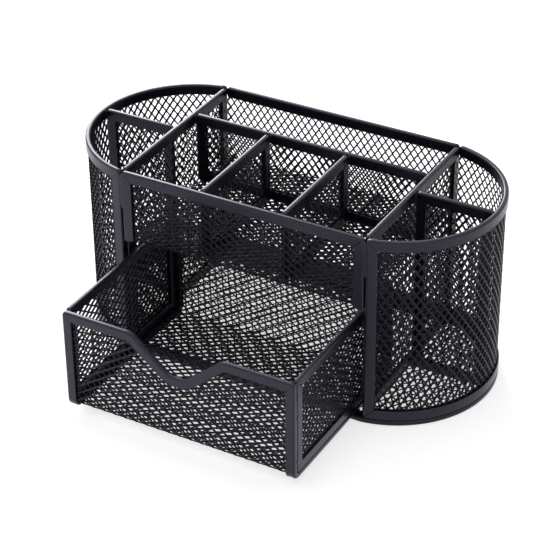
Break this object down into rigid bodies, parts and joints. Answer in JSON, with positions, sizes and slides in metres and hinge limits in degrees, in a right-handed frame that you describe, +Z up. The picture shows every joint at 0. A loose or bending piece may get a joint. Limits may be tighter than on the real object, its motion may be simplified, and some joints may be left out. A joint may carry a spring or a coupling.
{
  "type": "pen stand with drawer",
  "caption": "Oval black metal-mesh desk organizer with open pen compartments in its rounded ends and over a shelf, and a pull-out drawer with a finger scoop below.",
  "frame": {"origin": "middle of the base rim's underside, on the desk; the drawer stands 60 mm open in front of it", "axes": "+X along the stand's length, -Y to the front, where the drawer comes out, +Z up"},
  "size_m": [0.22, 0.163, 0.103],
  "materials": {
    "housing_mesh": "satin black powder coat on expanded metal",
    "housing_channel": "satin black powder coat on folded channel",
    "base_channel": "satin black powder coat on the base rim",
    "drawer_mesh": "satin black powder coat on expanded metal",
    "drawer_channel": "satin black powder coat on folded channel"
  },
  "bodies": {
    "housing": {"base_mesh": "housing_mesh", "base_rim": "base_channel", "shelf_mesh": "housing_mesh", "back_mesh": "housing_mesh", "back_frame": "housing_channel", "front_mesh": "housing_mesh", "front_frame": "housing_channel", "left_bay_wall_mesh": "housing_mesh", "left_bay_wall_frame": "housing_channel", "right_bay_wall_mesh": "housing_mesh", "right_bay_wall_frame": "housing_channel", "middle_divider_mesh": "housing_mesh", "middle_divider_frame": "housing_channel", "left_short_divider_mesh": "housing_mesh", "left_short_divider_frame": "housing_channel", "right_short_divider_mesh": "housing_mesh", "right_short_divider_frame": "housing_channel", "left_end_mesh": "housing_mesh", "left_end_frame": "housing_channel", "right_end_mesh": "housing_mesh", "right_end_frame": "housing_channel", "left_end_divider_mesh": "housing_mesh", "left_end_divider_frame": "housing_channel", "right_end_divider_mesh": "housing_mesh", "right_end_divider_frame": "housing_channel"},
    "drawer": {"drawer_floor_mesh": "drawer_mesh", "drawer_floor_left_frame": "drawer_channel", "drawer_floor_right_frame": "drawer_channel", "drawer_front_mesh": "drawer_mesh", "drawer_front_frame": "drawer_channel", "drawer_left_mesh": "drawer_mesh", "drawer_left_frame": "drawer_channel", "drawer_right_mesh": "drawer_mesh", "drawer_right_frame": "drawer_channel", "drawer_back_mesh": "drawer_mesh", "drawer_back_frame": "drawer_channel"}
  },
  "joints": [
    {"name": "drawer_slide", "type": "slide", "parent": "housing", "child": "drawer", "axis": [0, -1, 0], "range_m": [-0.06, 0.03]}
  ]
}
